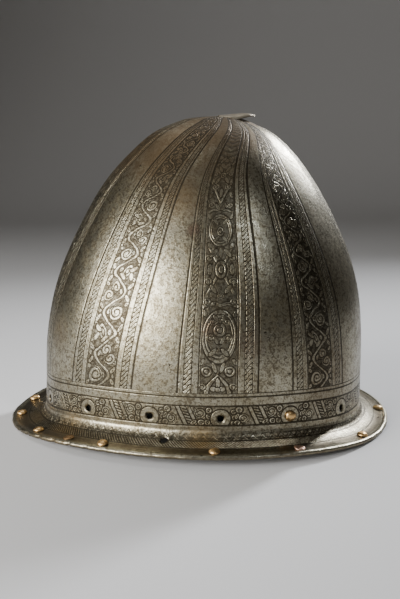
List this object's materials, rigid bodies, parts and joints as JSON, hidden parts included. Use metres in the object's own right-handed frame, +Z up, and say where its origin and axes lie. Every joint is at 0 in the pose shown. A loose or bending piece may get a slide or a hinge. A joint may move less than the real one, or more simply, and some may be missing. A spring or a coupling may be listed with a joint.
{
  "type": "cabasset helmet",
  "caption": "Pear shaped steel skull cap helmet with a narrow brim, turned rim, short stalk bent back at the crest, open lining holes and domed brim rivets.",
  "frame": {"origin": "middle of the brim's outline, on the plane on which the rim rests", "axes": "+Z up, -Y towards the front of the helmet, +X towards the wearer's left"},
  "size_m": [0.2472, 0.29, 0.2297],
  "materials": {
    "steel": "etched, worn and darkened",
    "brass": "aged, domed"
  },
  "bodies": {
    "root": {"brim_rivet_01": "brass", "brim_rivet_02": "brass", "brim_rivet_03": "brass", "brim_rivet_04": "brass", "brim_rivet_05": "brass", "brim_rivet_06": "brass", "brim_rivet_07": "brass", "brim_rivet_08": "brass", "brim_rivet_09": "brass", "brim_rivet_10": "brass", "brim_rivet_11": "brass", "brim_rivet_12": "brass", "brim_rivet_13": "brass", "brim_rivet_14": "brass", "helmet_bowl": "steel", "lining_rivet": "brass"}
  },
  "joints": []
}
